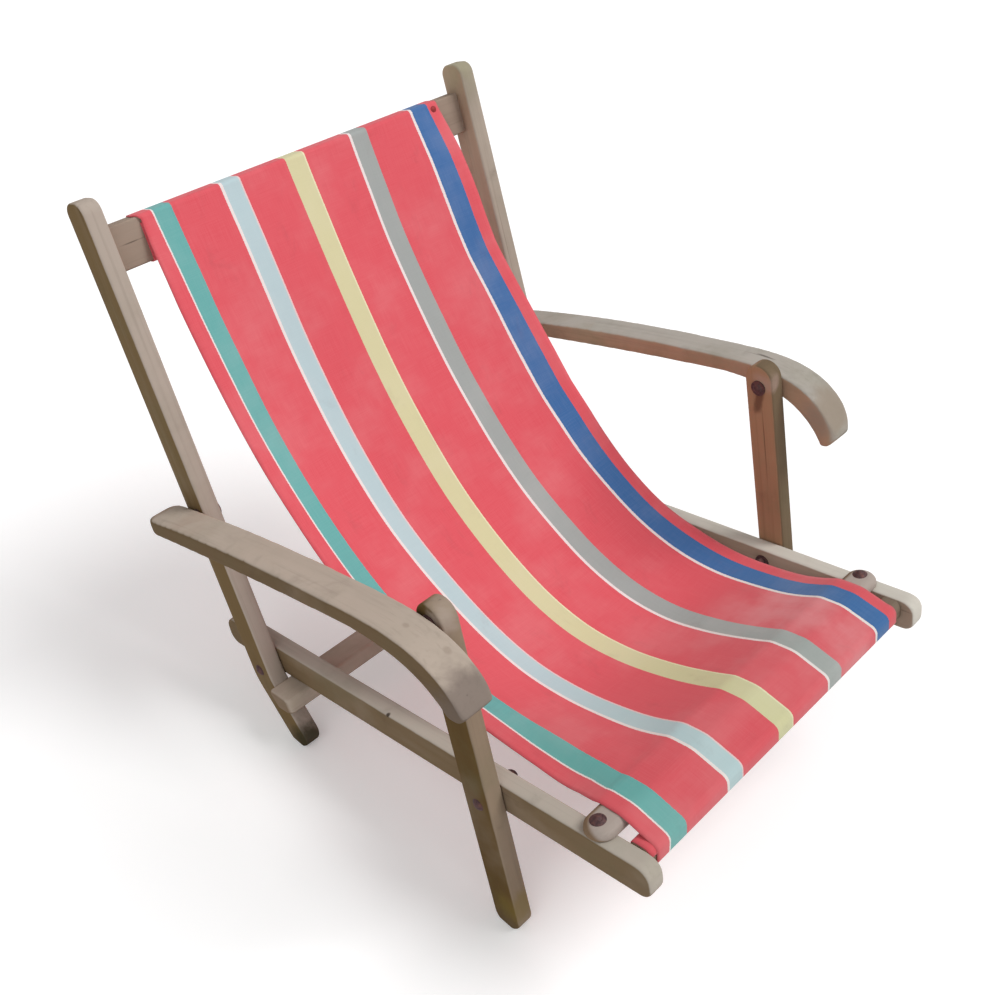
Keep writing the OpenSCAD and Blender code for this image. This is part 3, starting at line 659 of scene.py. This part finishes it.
def bevel_outline(mesh, radius):
    """Rounds a board's outline, and leaves the rims of its bores and mortises sharp."""
    bmesh.ops.dissolve_limit(mesh, angle_limit=np.radians(1), verts=mesh.verts, edges=mesh.edges)
    outline = []
    for chain in sharp_chains(mesh):
        spots = np.array([vert.co for edge in chain for vert in edge.verts])
        if np.linalg.norm(spots.max(0) - spots.min(0)) > RIM_MAX:
            outline += chain
    groups = [(outline, radius)]
    if isinstance(radius, tuple):
        heights = [sum(seat(vert.co)[2] for vert in edge.verts) for edge in outline]
        middle = (max(heights) + min(heights)) / 2
        upper = [edge for edge, height in zip(outline, heights) if height > middle]
        groups = [(upper, radius[0]), ([edge for edge in outline if edge not in upper], radius[1])]
    for edges, r in groups:
        bmesh.ops.bevel(mesh, geom=edges, offset=r * MM, offset_type="OFFSET", segments=4, profile=0.5,
                        affect="EDGES", clamp_overlap=False)
    settle_faces(mesh)


def settle_faces(mesh):
    """Puts the faces in the order of their corners. A second bevel leaves them in another one each run."""
    mesh.verts.index_update()
    for i, face in enumerate(sorted(mesh.faces, key=lambda face: [vert.index for vert in face.verts])):
        face.index = i
    mesh.faces.sort()


BROWN, RED_BROWN = srgb(132, 108, 84), srgb(160, 122, 96)
MOSS = srgb(52, 47, 22)
SPOT = srgb(112, 92, 76)
FOOT = (0.05, 0.05, 0.045)          # half sizes of the marks on the feet, in m
ARM_SPOT = (0.006, 0.008, 0.01)

# Marks: place, half sizes, colour and share. The near side is the left one, as the camera sees it.
RAIL_NICK = [(world(-251, -208, 0), (0.006, 0.004, 0.003), DARK_WOOD, 0.9)]
RAIL_CRACK = [(world(-228, *on_post(17.5, 503)), (0.030, 0.006, 0.0022), DARK_WOOD, 0.7)]
NEAR_POST_MARKS = [(world(-263, -40, -120), FOOT, MOSS, 0.9)]
FAR_POST_MARKS = [(world(263, 86, 550), (0.03, 0.05, 0.08), srgb(150, 150, 112), 0.4),
                  (world(263, -40, -120), FOOT, MOSS, 0.9)]
NEAR_LEG_MARKS = [(world(-266, -374, 222), (0.035, 0.035, 0.03), srgb(172, 156, 144), 0.75),
                  (world(-263, -396, -170), FOOT, srgb(124, 104, 40), 0.5)]
FAR_LEG_MARKS = [(world(258, -372, 222), (0.02, 0.03, 0.022), srgb(178, 152, 140), 0.6),
                 (world(252.5, -363, 201), (0.011, 0.011, 0.032), srgb(92, 60, 46), 0.75),
                 (world(263, -396, -170), FOOT, MOSS, 0.9)]
NEAR_ARM_MARKS = [(world(-297, -358, 225), ARM_SPOT, SPOT, 0.25),
                  (world(-290, -404, 212), ARM_SPOT, SPOT, 0.25),
                  (world(-300, -445, 180), (0.07, 0.06, 0.07), srgb(106, 93, 87), 0.7)]
FAR_ARM_MARKS = [(world(298, -436, 180), (0.06, 0.06, 0.06), srgb(152, 136, 120), 0.7),
                 (world(302, -442, 147), (0.04, 0.03, 0.02), srgb(86, 84, 60), 0.8)]
# Cuts at the armrests' front ends: the lower front edge, the end and the outer corner
NEAR_ARM_CUTS = [((0, -446.4, 169), (0, -14, -14.4)), ((0, -440, 155), (0, 0, -1)),
                 ((-314, -440, 155), (-1, 0, -1))]
FAR_ARM_CUTS = [((0, -446.4, 151.5), (0, -9.5, -9.4)), ((0, -440, 142), (0, 0, -1)),
                ((311, -440, 142), (1, 0, -1))]


def finish_timber():
    level = np.pi / 2 + PITCH
    arm = level + np.radians(3)
    post, leg = np.radians(POST_LEAN) + PITCH, np.radians(LEG_LEAN) + PITCH
    # Node, body, slot, edge radius, slope, outer side, top colour (bleached, and partly painted light), outer
    # and inner colour (the left-hand outer ones partly painted shade), algae, marks, cuts
    boards = [
        ("seat_rail_left", "seat_frame", "timber", None, level, -1,
         srgb(181, 172, 160), srgb(122, 101, 74), RED_BROWN, 0.2, RAIL_NICK, []),
        ("seat_rail_right", "seat_frame", "timber", None, level, 1,
         srgb(206, 201, 190), BROWN, srgb(150, 130, 112), 0.12, [], []),
        ("back_post_left", "back_frame", "timber", 3, post, -1,
         srgb(180, 166, 154), srgb(118, 95, 60), RED_BROWN, 0.15, NEAR_POST_MARKS, []),
        ("back_post_right", "back_frame", "timber", 3, post, 1,
         srgb(178, 164, 150), BROWN, srgb(186, 158, 136), 0.25, FAR_POST_MARKS, []),
        ("front_leg_left", "leg_left", "timber", 3, leg, -1,
         srgb(146, 127, 107), srgb(95, 71, 30), RED_BROWN, 0.25, NEAR_LEG_MARKS, []),
        ("front_leg_right", "leg_right", "timber", 3, leg, 1,
         srgb(116, 98, 76), BROWN, srgb(166, 130, 100), 0.15, FAR_LEG_MARKS, []),
        ("arm_left", "armrest_left", "timber_top", None, arm, -1,
         srgb(183, 168, 154), srgb(110, 89, 62), RED_BROWN, 0.12, NEAR_ARM_MARKS, NEAR_ARM_CUTS),
        ("arm_right", "armrest_right", "timber_top", None, arm, 1,
         srgb(178, 171, 162), BROWN, srgb(176, 144, 118), 0.3, FAR_ARM_MARKS, FAR_ARM_CUTS),
        ("rear_crossbar", "seat_frame", "timber", 4, 0.0, 0,
         srgb(188, 172, 157), BROWN, BROWN, 0.2, [], []),
        ("front_crossbar", "seat_frame", "timber_top", (9, 2), 0.0, 0,
         srgb(174, 161, 152), BROWN, BROWN, 0.15, [], []),
    ]
    for i, board in enumerate(boards):
        node, body, slot, radius, slope, side, top, outer, inner, algae, marks, cuts = board
        wood = timber(node, slope, 1.3 * i + 0.7, top, outer, inner, side, "crossbar" in node, algae, marks)
        rounded(node, body, slot, radius, wood, cuts)
    paint("top_rail", timber("top_rail", 0.0, 19.0, srgb(160, 141, 126), BROWN, BROWN,
                             along_x=True, marks=RAIL_CRACK))
    paint("front_rail", timber("front_rail", 0.0, 22.1, srgb(126, 110, 94), BROWN, BROWN, along_x=True))


def finish_hardware():
    metal = [rusty("rusty_a", 0.0), rusty("rusty_b", 4.0)]
    fittings = [s["node"] for s in frame["record"]["subparts"] if s["material_slot"] == "hardware"]
    for i, node in enumerate(fittings):
        paint(node, metal[i % 2])
    paint("canvas_tack", rusty("rusty_tack", 2.0, RED_RUST))


# Studio

# Name, strength, direction and angular size in degrees of each light
LIGHTS = [("key", 1.75, (0.5, -0.5, 1.0), 30), ("fill", 0.35, (-0.8, -0.3, 0.9), 40)]
SKY_STRENGTH = 0.45
FLOOR_HALF = 12                     # in m
FLOOR_GLOW = 0.22                   # seen by the camera only, so that the floor looks white


def make_floor():
    mesh = bmesh.new()
    bmesh.ops.create_grid(mesh, x_segments=1, y_segments=1, size=FLOOR_HALF)
    data = bpy.data.meshes.new("floor")
    mesh.to_mesh(data)
    mesh.free()
    floor = bpy.data.objects.new("floor", data)
    bpy.context.scene.collection.objects.link(floor)
    look = Nodes("floor")
    seen = look.add("ShaderNodeLightPath").outputs["Is Camera Ray"]
    look.surface(Base_Color=(0.92, 0.92, 0.92, 1), Roughness=1.0, Specular_IOR_Level=0.0,
                 Emission_Color=(1, 1, 1, 1), Emission_Strength=look.math("MULTIPLY", seen, FLOOR_GLOW))
    data.materials.append(look.mat)


def make_lights():
    for name, energy, direction, angle in LIGHTS:
        lamp = bpy.data.lights.new(name, "SUN")
        lamp.energy = energy
        lamp.angle = np.radians(angle)
        obj = bpy.data.objects.new(name, lamp)
        obj.matrix_world = Vector(direction).to_track_quat("Z", "Y").to_matrix().to_4x4()
        bpy.context.scene.collection.objects.link(obj)
    sky = bpy.data.worlds.new("world")
    bpy.context.scene.world = sky
    sky.use_nodes = True
    back = sky.node_tree.nodes["Background"]
    back.inputs[0].default_value = (1, 1, 1, 1)
    back.inputs[1].default_value = SKY_STRENGTH
    bpy.context.scene.view_settings.view_transform = "Standard"


make_camera()
finish_timber()
finish_hardware()
make_canvas()
make_floor()
make_lights()
